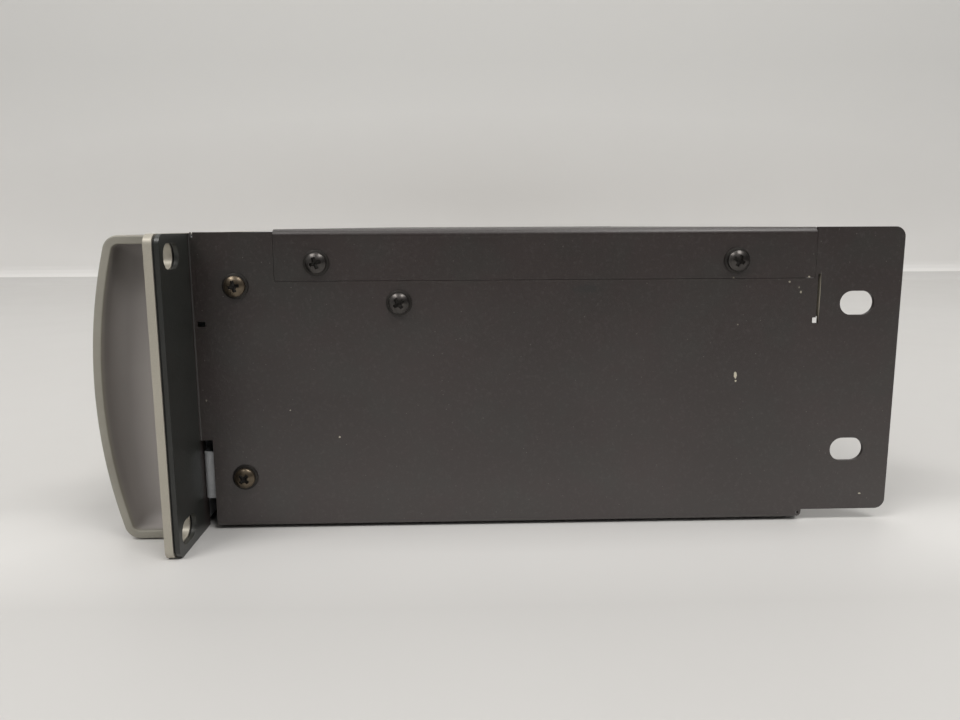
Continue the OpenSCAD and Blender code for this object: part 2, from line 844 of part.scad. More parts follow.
module power_toroid() {
    rim = 4;
    outer = 40;
    inner = 14;
    h = 34;
    color("#c9b23a") translate([toroid_at()[0], toroid_at()[1], floor_top_z + 2]) rotate_extrude()
        translate([(outer + inner) / 2, h / 2]) rounded(outer - inner, h, rim);
}

module toroid_clamp() {
    h = 34;
    z0 = floor_top_z;
    color("#22252a") translate([toroid_at()[0], toroid_at()[1], 0]) {
        difference() {
            translate([0, 0, z0]) cylinder(r = 38, h = 2);
            translate([0, 0, z0 - 1]) cylinder(r = 2.6, h = 4);
        }
        difference() {
            union() {
                translate([0, 0, z0 + 2 + h]) cylinder(r = 22, h = 1.5);
                translate([0, 0, z0 + h - 4]) cylinder(r1 = 6, r2 = 13, h = 6);
            }
            translate([0, 0, z0 + h - 5]) cylinder(r = 2.6, h = 12);
        }
    }
    color("#c9ccd0") translate([toroid_at()[0], toroid_at()[1], 0]) {
        translate([0, 0, floor_z + 0.02]) cylinder(r1 = 4.5, r2 = 2.5, h = 0.95);
        translate([0, 0, floor_z + 0.5]) cylinder(r = 2.5, h = h + 12);
        difference() {
            translate([0, 0, z0 + h + 3.5]) cylinder(r = 4.6, h = 4, $fn = 6);
            translate([0, 0, z0 + h + 3]) cylinder(r = 2.55, h = 6);
        }
    }
}

module smoothing_capacitors() {
    z0 = floor_top_z + 6 + board_t;
    color("#23324d") for (x = [-76, -48, -20, 8]) translate([x, 148, z0]) {
        cylinder(r = 11, h = 30);
        translate([0, 0, 30]) cylinder(r = 9.4, h = 0.8);
    }
}

module heatsink() {
    z0 = floor_top_z + 6 + board_t;
    fins = 8;
    color("#3a3d40") translate([92, heatsink_y, z0]) {
        block([-32, 32], [-2, 2], [0, 36]);
        for (k = [0:fins - 1]) translate([-30 + k * 60 / (fins - 1), 0, 0])
            block([-1, 1], [1.9, 14], [0, 36]);
    }
}

module regulators() {
    z0 = floor_top_z + 6 + board_t;
    color("#17181a") for (x = [74, 92, 110]) translate([x, heatsink_y - 2, z0]) {
        block([-5, 5], [-4.6, -1.3], [6, 15]);
        block([-5, 5], [-1.3, 0], [6, 22]);
        for (k = [-1, 0, 1]) translate([2.54 * k, -3.3, 0]) block([-0.4, 0.4], [-0.3, 0.3], [0, 6.1]);
    }
}

// ---------- rear connectors ----------

module mains_inlet() {
    plate_y = [rear_out_y, rear_out_y + 1.6];
    socket = [24.6, 16.8];
    socket_mid_z = 8;
    drawer_z = -11;
    color("#161616") translate([inlet_x, 0, inlet_z]) difference() {
        union() {
            upright(plate_y) union() {
                rounded(31, 42, 2);
                rounded(49, 13, 6);
            }
            block([-13.6, 13.6], [rear_y - 24, rear_out_y + 0.1], [-18.8, 18.8]);
        }
        upright([rear_out_y - 16, rear_out_y + 3]) translate([0, socket_mid_z])
            rounded(socket[0], socket[1], 2);
        block([-11.4, 11.4], [rear_y - 22, rear_out_y + 3], [drawer_z - 4.9, drawer_z + 4.9]);
        for (s = [-1, 1]) translate([20 * s, 0, 0]) rod_y(small_r + 0.1, [rear_out_y - 1, rear_out_y + 3]);
    }
    color("#c9ccd0") translate([inlet_x, 0, inlet_z + socket_mid_z])
        for (p = [[-7, -2], [0, 2], [7, -2]])
            block([p[0] - 1, p[0] + 1], [rear_out_y - 16, rear_out_y - 2], [p[1] - 2, p[1] + 2]);
}

module fuse_drawer() {
    drawer_z = -11;
    front_y = rear_out_y + 1.6;
    color("#161616") translate([inlet_x, 0, inlet_z + drawer_z]) difference() {
        union() {
            block([-11, 11], [rear_y - 21, front_y + 0.5], [-4.5, 4.5]);
            block([-4, 4], [front_y + 0.3, front_y + 2], [-3.4, 0.5]);
        }
        block([-9.6, 9.6], [rear_y - 19, rear_y - 4], [-3.2, 5]);
    }
    color("#c9ccd0") translate([inlet_x, rear_y - 11, inlet_z + drawer_z - 0.7]) rod_x(2.5, [-8.5, 8.5]);
}

module xlr_plate() {
    upright([rear_out_y, rear_out_y + 1.6]) rounded(26, 31, 2.5);
    rod_y(xlr_r, [rear_y - 18, rear_out_y + 0.1]);
}

module xlr_screw_holes() {
    for (s = [-1, 1]) translate([s * 9.5, 0, s * 12]) rod_y(small_r + 0.1, [rear_y - 1, rear_out_y + 3]);
}

function xlr_pins() = [for (a = [-35, 90, 215]) [3.4 * cos(a), -3.4 * sin(a)]];

module xlr_sockets() {
    face_y = rear_out_y + 1.6;
    color("#1d1f21") {
        for (x = output_x) translate([x, 0, socket_z]) difference() {
            xlr_plate();
            rod_y(9.6, [face_y - 15, face_y + 1]);
            xlr_screw_holes();
        }
        for (x = input_x) translate([x, 0, socket_z]) difference() {
            xlr_plate();
            difference() {
                rod_y(9.9, [face_y - 12, face_y + 1]);
                rod_y(7.6, [face_y - 13, face_y - 0.6]);
            }
            for (p = xlr_pins()) translate([p[0], 0, p[1]]) rod_y(1.3, [face_y - 12, face_y + 1]);
            block([-3.4, 3.4], [face_y - 6, face_y + 1], [9.1, 11.5]);
            block([-3.4, 3.4], [rear_out_y + 0.05, face_y + 1], [9.1, 13.4]);
            xlr_screw_holes();
        }
    }
    color("#c9ccd0") for (x = output_x, p = xlr_pins())
        translate([x + p[0], 0, socket_z + p[1]]) rod_y(1.2, [face_y - 15, face_y - 3]);
}

module latch(x) {
    face_y = rear_out_y + 1.6;
    color("#c9ccd0") translate([x, 0, socket_z]) {
        block([-3, 3], [rear_out_y + 0.2, face_y + 0.8], [10.5, 13.1]);
        block([-3, 3], [face_y - 5.6, rear_out_y + 0.3], [10.5, 11.2]);
    }
}

module latch_1() {
    latch(input_x[0]);
}

module latch_2() {
    latch(input_x[1]);
}

module sidechain_jacks() {
    nose_y = rear_out_y + 3.2;
    color("#b9bcc0") for (x = jack_x) translate([x, 0, socket_z]) {
        difference() {
            union() {
                rod_y(5, [rear_y - 0.1, nose_y]);
                block([-8, 8], [rear_y - 20, rear_y], [-8, 8]);
            }
            rod_y(jack_r, [rear_y - 17, nose_y + 1]);
        }
        difference() {
            translate([0, rear_out_y + 2, 0]) rotate([90, 0, 0]) cylinder(r = 7.4, h = 2, $fn = 6);
            rod_y(5.03, [rear_out_y - 1, nose_y + 1]);
        }
    }
}

chassis();
top_cover();
cover_rails();
front_panel();
bonding_sheet();
sub_panel();
handle_left();
handle_right();
handle_screws();
front_brackets();
bracket_screws();
cover_screws();
cross_brace();
brace_screws();
rear_panel();
rear_panel_screws();
meter_cases();
meter_dials();
meter_lenses();
needle_1();
needle_2();
threshold_knob_1();
ratio_knob_1();
gain_knob_1();
attack_knob_1();
release_knob_1();
threshold_knob_2();
ratio_knob_2();
gain_knob_2();
attack_knob_2();
release_knob_2();
bypass_button_1();
sidechain_button_1();
auto_button_1();
bypass_button_2();
sidechain_button_2();
auto_button_2();
link_button();
power_rocker();
power_switch_case();
potentiometers();
pot_nuts();
button_switches();
control_board();
gain_leds();
indicator_leds();
main_board();
board_components();
board_standoffs();
power_toroid();
toroid_clamp();
smoothing_capacitors();
heatsink();
regulators();
mains_inlet();
fuse_drawer();
xlr_sockets();
latch_1();
latch_2();
sidechain_jacks();
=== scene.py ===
"""Looks for the two-channel rack compressor: materials, fine pieces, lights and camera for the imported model.

Everything is in metres, in the model's own frame: +X to the right seen from the front, +Y to the rear, +Z up.
"""

import json
import math

import bmesh
import bpy
from mathutils import Matrix, Quaternion, Vector


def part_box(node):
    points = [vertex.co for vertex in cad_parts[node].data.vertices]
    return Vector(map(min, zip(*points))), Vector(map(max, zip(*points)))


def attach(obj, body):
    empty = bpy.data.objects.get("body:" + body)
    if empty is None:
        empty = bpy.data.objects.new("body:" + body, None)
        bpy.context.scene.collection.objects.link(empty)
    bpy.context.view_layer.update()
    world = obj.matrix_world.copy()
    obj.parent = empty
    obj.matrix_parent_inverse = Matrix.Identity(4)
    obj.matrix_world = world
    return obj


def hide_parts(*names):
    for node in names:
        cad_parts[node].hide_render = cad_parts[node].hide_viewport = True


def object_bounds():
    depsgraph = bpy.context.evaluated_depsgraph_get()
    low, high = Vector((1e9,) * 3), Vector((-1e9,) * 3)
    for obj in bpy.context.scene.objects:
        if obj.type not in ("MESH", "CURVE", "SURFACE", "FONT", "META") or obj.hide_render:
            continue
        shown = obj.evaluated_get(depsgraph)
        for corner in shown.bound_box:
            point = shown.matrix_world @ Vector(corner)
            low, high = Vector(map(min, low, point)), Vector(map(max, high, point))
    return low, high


MM = 0.001
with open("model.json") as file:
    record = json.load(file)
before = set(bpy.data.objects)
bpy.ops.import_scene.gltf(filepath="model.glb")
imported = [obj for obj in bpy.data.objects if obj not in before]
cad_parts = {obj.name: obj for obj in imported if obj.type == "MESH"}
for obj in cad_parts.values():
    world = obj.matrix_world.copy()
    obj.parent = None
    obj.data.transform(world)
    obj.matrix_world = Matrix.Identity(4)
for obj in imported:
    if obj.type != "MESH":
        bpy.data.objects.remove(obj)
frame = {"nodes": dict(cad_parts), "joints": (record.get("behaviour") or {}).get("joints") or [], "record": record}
nodes = frame["nodes"]
cad_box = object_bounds()

# How far from the middle the ears, the handles and the side plates reach, and where the panel's front lies.
EAR_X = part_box("front_panel")[1].x
HANDLE_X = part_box("handle_right")[1].x
SIDE_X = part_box("top_cover")[1].x
PANEL_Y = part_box("front_panel")[0].y
KNOBS = [n for n in nodes if n.endswith(("_knob_1", "_knob_2"))]


# ---------- materials: how one is built ----------

def tone(code):
    """A colour such as "2b2a29" as linear red, green, blue and alpha."""
    parts = [int(code[i:i + 2], 16) / 255 for i in (0, 2, 4)]
    return [p / 12.92 if p <= 0.04045 else ((p + 0.055) / 1.055) ** 2.4 for p in parts] + [1.0]


class Surface:
    """A procedural material, built up from noises, masks and mixes."""

    def __init__(self, name, colour, roughness, metallic=0.0, **fixed):
        self.material = bpy.data.materials.new(name)
        self.material.use_nodes = True
        self.tree = self.material.node_tree
        self.shader = self.tree.nodes["Principled BSDF"]
        self.place = self.add("ShaderNodeTexCoord").outputs["Object"]
        self.shader.inputs["Base Color"].default_value = tone(colour)
        self.shader.inputs["Roughness"].default_value = roughness
        self.shader.inputs["Metallic"].default_value = metallic
        for socket, value in fixed.items():
            self.shader.inputs[socket.replace("_", " ")].default_value = value

    def add(self, kind, **settings):
        """Adds a shader node with those settings."""
        made = self.tree.nodes.new(kind)
        for key, value in settings.items():
            setattr(made, key, value)
        return made

    def plug(self, value, socket):
        """Joins a socket to another one, or sets it to a plain value."""
        if isinstance(value, bpy.types.NodeSocket):
            self.tree.links.new(value, socket)
        else:
            socket.default_value = value

    def stretched(self, along):
        """The place, with each axis scaled, so that a noise on it gets a direction."""
        scaled = self.add("ShaderNodeMapping")
        self.plug(self.place, scaled.inputs["Vector"])
        scaled.inputs["Scale"].default_value = along
        return scaled.outputs["Vector"]

    def noise(self, size, detail=2.0, along=(1, 1, 1), rough=0.55, shift=0.0):
        """Soft noise from 0 to 1 with features of about that size in metres."""
        made = self.add("ShaderNodeTexNoise", noise_dimensions="4D")
        self.plug(self.stretched(along), made.inputs["Vector"])
        made.inputs["W"].default_value = shift
        made.inputs["Scale"].default_value = 1 / size
        made.inputs["Detail"].default_value = detail
        made.inputs["Roughness"].default_value = rough
        return made.outputs["Fac"]

    def cells(self, size):
        """Distance to the nearest of many scattered points, in parts of that size, and that point's shade."""
        made = self.add("ShaderNodeTexVoronoi", feature="F1")
        self.plug(self.stretched((1, 1, 1)), made.inputs["Vector"])
        made.inputs["Scale"].default_value = 1 / size
        return made.outputs["Distance"], made.outputs["Color"]

    def span(self, value, low, high, start=0.0, end=1.0):
        """Maps low to start and high to end, and holds those beyond them."""
        made = self.add("ShaderNodeMapRange", clamp=True)
        self.plug(value, made.inputs["Value"])
        for socket, number in zip(("From Min", "From Max", "To Min", "To Max"), (low, high, start, end)):
            made.inputs[socket].default_value = number
        return made.outputs["Result"]

    def maths(self, operation, a, b=0.0):
        """One step of arithmetic on sockets or numbers."""
        made = self.add("ShaderNodeMath", operation=operation)
        self.plug(a, made.inputs[0])
        self.plug(b, made.inputs[1])
        return made.outputs[0]

    def part(self, vector, axis):
        """One coordinate of a vector: 0, 1 or 2 for X, Y or Z."""
        made = self.add("ShaderNodeSeparateXYZ")
        self.plug(vector, made.inputs[0])
        return made.outputs[axis]

    def oval(self, across, up, centre, reach):
        """How far the place is from a centre along two axes, as a share of those half sizes."""
        a = self.maths("DIVIDE", self.maths("SUBTRACT", self.part(self.place, across), centre[0]), reach[0])
        b = self.maths("DIVIDE", self.maths("SUBTRACT", self.part(self.place, up), centre[1]), reach[1])
        square = self.maths("ADD", self.maths("MULTIPLY", a, a), self.maths("MULTIPLY", b, b))
        return self.maths("SQRT", square)

    def paint(self, factor, other):
        """Mixes another colour over what is there already."""
        base = self.shader.inputs["Base Color"]
        under = base.links[0].from_socket if base.links else list(base.default_value)
        made = self.add("ShaderNodeMix", data_type="RGBA")
        for socket, value in ((0, factor), (6, under), (7, tone(other))):
            self.plug(value, made.inputs[socket])
        self.plug(made.outputs[2], base)

    def vary(self, socket, factor, low, high):
        """Lets a shader value run from low to high with a factor from 0 to 1."""
        self.plug(self.span(factor, 0.0, 1.0, low, high), self.shader.inputs[socket])

    def bump(self, height, depth):
        """Adds relief of that depth in metres on top of the relief that is there already."""
        made = self.add("ShaderNodeBump")
        made.inputs["Strength"].default_value = 1.0
        made.inputs["Distance"].default_value = depth
        self.plug(height, made.inputs["Height"])
        normal = self.shader.inputs["Normal"]
        if normal.links:
            self.plug(normal.links[0].from_socket, made.inputs["Normal"])
        self.plug(made.outputs["Normal"], normal)


# ---------- materials: one function for each kind of finish ----------

def near(surface, centre, reach, ragged=0.0):
    """A mask that is 1 inside an oval on the right side plate, centred in Y and Z with those half sizes."""
    away = surface.oval(1, 2, centre, reach)
    if ragged:
        torn = surface.span(surface.noise(min(reach), 2.0), 0.3, 0.7, -ragged, ragged)
        away = surface.maths("ADD", away, torn)
    right_hand = surface.span(surface.part(surface.place, 0), 0.0, 1 * MM)
    return surface.maths("MULTIPLY", surface.span(away, 1.15, 0.85), right_hand)


def powder_coat(name, colour, worn=0.0):
    """Fine-textured satin black paint on steel, with dust, rubbed places, bare specks on edges and painted shade
    in the inner corner by each front ear.
    """
    s = Surface(name, colour, 0.45, IOR=1.68)
    grain = s.noise(0.9 * MM, 3.0, rough=0.6)
    fine = s.noise(0.28 * MM, 2.0, shift=3.0)
    clouds = s.noise(42 * MM, 3.0, shift=1.0)
    s.paint(s.span(clouds, 0.35, 0.7, 0.0, 0.5), "352928")
    s.paint(s.span(s.noise(13 * MM, 4.0, shift=7.0), 0.45, 0.7, 0.0, 0.5), "252824")
    s.paint(s.span(grain, 0.53, 0.78, 0.0, 0.45), "4c4846")
    s.paint(s.span(fine, 0.62, 0.8, 0.0, 0.28), "6a6763")
    specks, shade = s.cells(2.6 * MM)
    rare = s.span(s.part(shade, 0), 0.8, 0.86)
    s.paint(s.maths("MULTIPLY", s.span(specks, 0.06, 0.03), rare), "6d6a65")
    if worn:
        bare = s.span(s.noise(1.3 * MM, 4.0, rough=0.7, shift=5.0), 0.62 - worn, 0.7 - worn)
        s.paint(bare, "8c877c")
    rub = s.noise(26 * MM, 5.0, along=(1, 0.35, 1.4), shift=11.0)
    rubbed = s.maths("MULTIPLY", s.span(rub, 0.3, 0.72), s.span(fine, 0.2, 0.8, 0.75, 1.0))
    s.vary("Roughness", rubbed, 0.47, 0.31)
    s.bump(grain, 0.05 * MM)
    s.bump(fine, 0.018 * MM)
    # Painted shade: the inner corner between a side plate and its front ear is painted dark and made to reflect
    # little, where shade falls.
    outward = s.maths("ABSOLUTE", s.part(s.place, 0))
    crease_shade = s.maths("MULTIPLY", s.span(outward, SIDE_X + 0.01 * MM, SIDE_X + 0.05 * MM),
                   s.span(s.part(s.place, 1), 0.02 * MM, 0.08 * MM))
    s.paint(crease_shade, "0d0d0c")
    s.vary("Specular IOR Level", crease_shade, 0.5, 0.05)
    return s


# Chips in the right side plate's paint: place along Y and Z and half sizes, in mm, and how bare the metal is.
# The last one is a thin pale line along the seam slit.
CHIPS = (
    ((158.6, 1.6), (0.42, 0.95), 1.0),
    ((158.75, -0.2), (0.3, 0.32), 1.0),
    ((198.8, -35.7), (0.4, 0.22), 0.9),
    ((173.3, 29.2), (0.28, 0.28), 0.5),
    ((176.2, 27.5), (0.2, 0.3), 0.3),
    ((176.8, 26.1), (0.28, 0.35), 0.6),
    ((179.0, 30.6), (0.3, 0.25), 0.6),
    ((156.7, 30.4), (0.25, 0.25), 0.35),
    ((158.6, 16.7), (0.22, 0.22), 0.3),
    ((40.9, -15.9), (0.26, 0.26), 0.9),
    ((26.7, -7.6), (0.2, 0.2), 0.6),
    ((2.4, -4.4), (0.2, 0.3), 0.35),
    ((182.5, 25.0), (0.12, 6.4), 0.5),
)


def side_paint(name, colour):
    """Paint of the chassis and cover: lighter lower down as painted light from the table, greener on the ears,
    with painted shade on the ears' outer edges, and chipped on the right.
    """
    s = powder_coat(name, colour)
    # Painted light: the paint is lighter towards the bottom, for the light the table throws onto the plates.
    s.paint(s.span(s.part(s.place, 2), 30 * MM, -45 * MM, 0.0, 0.2), "6b6564")
    outward = s.maths("ABSOLUTE", s.part(s.place, 0))
    s.paint(s.span(outward, SIDE_X + 0.6 * MM, SIDE_X + 1 * MM, 0.0, 0.7), "2d322f")
    # Painted shade: the outer edge of each ear is painted darker and made to reflect less, to dim the light it
    # catches.
    ear_edge_shade = s.span(outward, EAR_X - 0.5 * MM, EAR_X - 0.4 * MM)
    s.paint(s.maths("MULTIPLY", ear_edge_shade, 0.3), "101010")
    s.vary("Specular IOR Level", ear_edge_shade, 0.5, 0.3)
    for centre, reach, strength in CHIPS:
        mask = near(s, [c * MM for c in centre], [r * MM for r in reach], ragged=0.25)
        s.paint(s.maths("MULTIPLY", mask, strength), "cfc8b4")
    smudge = near(s, (113.5 * MM, 27.5 * MM), (3.5 * MM, 1.2 * MM), ragged=0.5)
    s.paint(s.maths("MULTIPLY", smudge, 0.5), "1b1b1b")
    return s


def brushed(name, colour, along, roughness, metallic):
    """Brushed, anodised aluminium. along scales the axes, and the grain runs along the one with the least."""
    s = Surface(name, colour, roughness, metallic)
    grain = s.noise(0.35 * MM, 3.0, along=along, rough=0.7)
    clouds = s.noise(30 * MM, 2.0, shift=2.0)
    s.paint(s.span(grain, 0.3, 0.8, 0.0, 0.3), "d6d1c6")
    s.paint(s.span(clouds, 0.4, 0.75, 0.0, 0.25), "8a857a")
    s.vary("Roughness", grain, roughness - 0.08, roughness + 0.12)
    s.bump(grain, 0.012 * MM)
    return s


def blasted(name, colour, roughness, metallic):
    """Bead-blasted and anodised aluminium: a fine even grain, softly mottled."""
    s = Surface(name, colour, roughness, metallic)
    grain = s.noise(0.3 * MM, 2.0, rough=0.7)
    clouds = s.noise(14 * MM, 3.0, shift=4.0)
    s.paint(s.span(clouds, 0.35, 0.75, 0.0, 0.35), "77736a")
    s.paint(s.span(grain, 0.6, 0.85, 0.0, 0.25), "a9a69b")
    s.vary("Roughness", clouds, roughness - 0.06, roughness + 0.06)
    s.bump(grain, 0.01 * MM)
    return s


def handle_metal(name, colour):
    """Blasted aluminium that is duller in the scoop, where hands and brushes never polish it. Its colour there is
    painted lighter and greyer as painted light, with painted shade near the nose and under the top rim.
    """
    s = blasted(name, colour, 0.5, 0.35)
    depth = s.span(s.maths("ABSOLUTE", s.part(s.place, 0)), HANDLE_X - 0.4 * MM, HANDLE_X - 2.5 * MM)
    # Painted light: the scoop's colour is painted lighter and greyer for the light that reaches it.
    s.paint(s.maths("MULTIPLY", depth, 0.8), "b3aead")
    # Painted shadow: darker near the nose, where the rim shades the scoop.
    front = s.span(s.part(s.place, 1), -13 * MM, -24 * MM, 0.0, 0.5)
    s.paint(s.maths("MULTIPLY", depth, front), "4a4644")
    # Painted shadow: darker under the top rim, where overhead light is blocked.
    top = s.span(s.part(s.place, 2), 5 * MM, 40 * MM, 0.0, 0.5)
    s.paint(s.maths("MULTIPLY", depth, top), "4a4644")
    s.vary("Metallic", depth, 0.35, 0.1)
    s.vary("Roughness", depth, 0.5, 0.72)
    return s


def plated(name, colour, roughness, stain, metallic=1.0):
    """A plated metal with a faint grain and stains."""
    s = Surface(name, colour, roughness, metallic)
    clouds = s.noise(3.2 * MM, 4.0, rough=0.6)
    grain = s.noise(0.16 * MM, 2.0, shift=6.0)
    s.paint(s.span(clouds, 0.45, 0.72, 0.0, 0.6), stain)
    s.vary("Roughness", clouds, roughness - 0.05, roughness + 0.15)
    s.bump(grain, 0.006 * MM)
    return s


def moulded(name, colour, roughness, light):
    """Moulded plastic or rubber with a spark-eroded grain and dust in its hollows."""
    s = Surface(name, colour, roughness)
    grain = s.noise(0.35 * MM, 2.0)
    dust = s.noise(9 * MM, 4.0, shift=8.0)
    s.paint(s.span(dust, 0.5, 0.8, 0.0, 0.3), light)
    s.vary("Roughness", dust, roughness - 0.05, roughness + 0.12)
    s.bump(grain, 0.012 * MM)
    return s


def circuit_board(name, colour):
    """Solder mask over copper tracks."""
    s = Surface(name, colour, 0.35)
    tracks = s.add("ShaderNodeTexBrick")
    s.plug(s.stretched((1, 1.3, 1)), tracks.inputs["Vector"])
    tracks.inputs["Scale"].default_value = 90
    tracks.inputs["Mortar Size"].default_value = 0.012
    s.paint(s.span(tracks.outputs["Fac"], 0, 1, 0.0, 0.5), "2f6a4a")
    s.bump(tracks.outputs["Fac"], 0.02 * MM)
    s.vary("Roughness", s.noise(5 * MM), 0.28, 0.45)
    return s


def wound(name, colour):
    """Overlapping turns of yellow tape on a ring."""
    s = Surface(name, colour, 0.4)
    turns = s.add("ShaderNodeTexWave", wave_type="BANDS", bands_direction="DIAGONAL")
    s.plug(s.place, turns.inputs["Vector"])
    turns.inputs["Scale"].default_value = 60
    turns.inputs["Distortion"].default_value = 1.5
    s.paint(s.span(turns.outputs["Fac"], 0.2, 0.9, 0.0, 0.5), "8d7a1c")
    s.bump(turns.outputs["Fac"], 0.1 * MM)
    return s


def printed_card(name, colour):
    """Printed dial card with a faint fibre."""
    s = Surface(name, colour, 0.6)
    fibre = s.noise(0.4 * MM, 3.0)
    s.paint(s.span(s.noise(20 * MM, 2.0), 0.4, 0.8, 0.0, 0.4), "e6d9b2")
    s.vary("Roughness", fibre, 0.55, 0.7)
    s.bump(fibre, 0.005 * MM)
    return s


def clear_acrylic(name):
    """The flat window of a meter, a little uneven, as a pressed sheet is."""
    s = Surface(name, "c9d2d2", 0.03, IOR=1.49, Alpha=0.13)
    s.vary("Roughness", s.noise(12 * MM, 3.0), 0.01, 0.06)
    s.bump(s.noise(25 * MM, 1.0), 0.004 * MM)
    return s


def lamp(name, colour, glow):
    """The diffused lens of a lamp."""
    s = Surface(name, colour, 0.3, Subsurface_Weight=0.2, Subsurface_Scale=0.002)
    s.paint(s.span(s.noise(1.5 * MM, 2.0), 0.4, 0.8, 0.0, 0.3), glow)
    s.vary("Roughness", s.noise(4 * MM), 0.22, 0.4)
    s.bump(s.noise(0.5 * MM), 0.01 * MM)
    return s


def ink(name, colour):
    """Screen-printed ink."""
    s = Surface(name, colour, 0.55)
    s.vary("Roughness", s.noise(0.5 * MM), 0.5, 0.7)
    s.paint(s.span(s.noise(0.7 * MM, 3.0), 0.6, 0.9, 0.0, 0.3), "5a5852")
    s.bump(s.noise(0.2 * MM), 0.003 * MM)
    return s


# The record's material slots, and five more that only the pieces and edges made here have.
FINISHES = {
    "black_steel": side_paint("side_paint", "231a18"),
    # Edge paint: worn, with bare specks, and a little lighter than the plates, partly as a painted highlight along
    # the edges.
    "worn_and_sheen_edge": powder_coat("worn_and_sheen_edge_paint", "322f2d", worn=0.04),
    "champagne_panel": brushed("panel_brushed", "b3aea1", (0.02, 1, 1), 0.42, 0.3),
    "panel_rim": blasted("panel_rim_metal", "bcb7ab", 0.6, 0.05),
    "black_bonding": moulded("bonding_black", "121212", 0.7, "1d1c1b"),
    "zinc_steel": plated("zinc_plate", "c4c6c9", 0.42, "9fa2a5", 0.35),
    "handle_aluminium": handle_metal("handle_anodised", "a3a096"),
    "yellow_screws": plated("yellow_passivated", "6c6152", 0.27, "332c25", 0.85),
    # Dark washers, and painted shade in the screws' cross recesses.
    "washer_and_recess_shade": plated("dark_washer_and_recess_shade", "302d2a", 0.42, "151413", 0.5),
    "black_screws": plated("black_oxide", "524f4d", 0.27, "2a2928", 0.9),
    "black_plastic": moulded("plastic_black", "161616", 0.33, "2a2928"),
    "knob_plastic": moulded("plastic_knob", "1d1d20", 0.42, "333231"),
    "button_plastic": moulded("plastic_button", "d3cfc3", 0.45, "b5b0a2"),
    "dial_card": printed_card("card_cream", "efe4c4"),
    "clear_lens": clear_acrylic("acrylic_clear"),
    "needle_red": moulded("needle_paint", "8e2218", 0.4, "5a1710"),
    "plated_metal": plated("nickel_plate", "c3c4c6", 0.2, "9a9b9d"),
    "green_board": circuit_board("board_green", "17452f"),
    "component_black": moulded("component_black", "1a1b1d", 0.5, "2c2c2c"),
    "red_lamp": lamp("lamp_red", "8c1c12", "d8553c"),
    "green_lamp": lamp("lamp_green", "1f6b2a", "5fc06a"),
    "brass_posts": plated("brass_turned", "b59b5e", 0.25, "8a7443"),
    "winding_tape": wound("tape_yellow", "c2a930"),
    "blue_sleeve": moulded("sleeve_blue", "1f3150", 0.3, "35507a"),
    "black_aluminium": blasted("heatsink_black", "26282b", 0.4, 0.6),
    "ink_black": ink("ink_black", "1c1b1a"),
    "ink_white": ink("ink_white", "dedbd2"),
}


def finish_of(slot):
    """The material of a slot."""
    return FINISHES[slot].material


for subpart in frame["record"]["subparts"]:
    mesh = nodes[subpart["node"]].data
    mesh.materials.clear()
    mesh.materials.append(finish_of(subpart["material_slot"]))


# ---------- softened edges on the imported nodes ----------

# Vertices this close are joined, faces this flat are joined, and edges sharper than the last are rounded.
WELD_GAP = 0.002 * MM
FLAT_ANGLE = math.radians(0.5)
SHARP_ANGLE = math.radians(34)


def soften(names, width, segments=2, rim=None):
    """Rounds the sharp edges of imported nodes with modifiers, and may give the edges a finish of their own."""
    for name in names:
        piece = nodes[name]
        weld = piece.modifiers.new("joined", "WELD")
        weld.merge_threshold = WELD_GAP
        flat = piece.modifiers.new("flat_faces", "DECIMATE")
        flat.decimate_type = "DISSOLVE"
        flat.angle_limit = FLAT_ANGLE
        bevel = piece.modifiers.new("rounded", "BEVEL")
        bevel.width = width
        bevel.segments = segments
        bevel.limit_method = "ANGLE"
        bevel.angle_limit = SHARP_ANGLE
        bevel.use_clamp_overlap = True
        bevel.miter_outer = "MITER_ARC"
        if rim:
            piece.data.materials.append(finish_of(rim))
            bevel.material = 1
        smooth = piece.modifiers.new("normals", "WEIGHTED_NORMAL")
        smooth.keep_sharp = False
        for face in piece.data.polygons:
            face.use_smooth = True


soften(["chassis", "top_cover"], 0.22 * MM, rim="worn_and_sheen_edge")
soften(["rear_panel", "cover_rails"], 0.2 * MM)
soften(["front_panel"], 0.3 * MM, rim="panel_rim")
soften(["front_brackets"], 0.15 * MM)
soften(KNOBS, 0.35 * MM, 3)
soften([n for n in nodes if "_button" in n and n != "button_switches"], 0.4 * MM, 3)
soften(["power_rocker", "power_switch_case", "meter_cases"], 0.4 * MM, 3)
soften(["mains_inlet", "fuse_drawer", "xlr_sockets", "latch_1", "latch_2", "sidechain_jacks"], 0.25 * MM)
soften(["pot_nuts", "rear_panel_screws", "gain_leds", "indicator_leds", "toroid_clamp"], 0.15 * MM)


# ---------- mesh helpers ----------

def make_piece(name, build, finish, body="root", replaced=()):
    """Makes an object from a function that fills a bmesh.

    finish is its material, body is what it moves with, and replaced lists the nodes that it stands for.
    """
    shape = bmesh.new()
    build(shape)
    bmesh.ops.remove_doubles(shape, verts=shape.verts, dist=0.001 * MM)
    bmesh.ops.recalc_face_normals(shape, faces=shape.faces)
    mesh = bpy.data.meshes.new(name)
    shape.to_mesh(mesh)
    shape.free()
    for face in mesh.polygons:
        face.use_smooth = True
    mesh.materials.append(finish_of(finish))
    piece = bpy.data.objects.new(name, mesh)
    bpy.context.scene.collection.objects.link(piece)
    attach(piece, body)
    if replaced:
        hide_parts(*replaced)
    return piece


def join_rings(shape, rings, closed=True):
    """Skins a list of equal rings of vertices, and returns the faces."""
    made = []
    for a, b in zip(rings, rings[1:]):
        count = len(a)
        for i in range(count if closed else count - 1):
            j = (i + 1) % count
            made.append(shape.faces.new((a[i], a[j], b[j], b[i])))
    return made


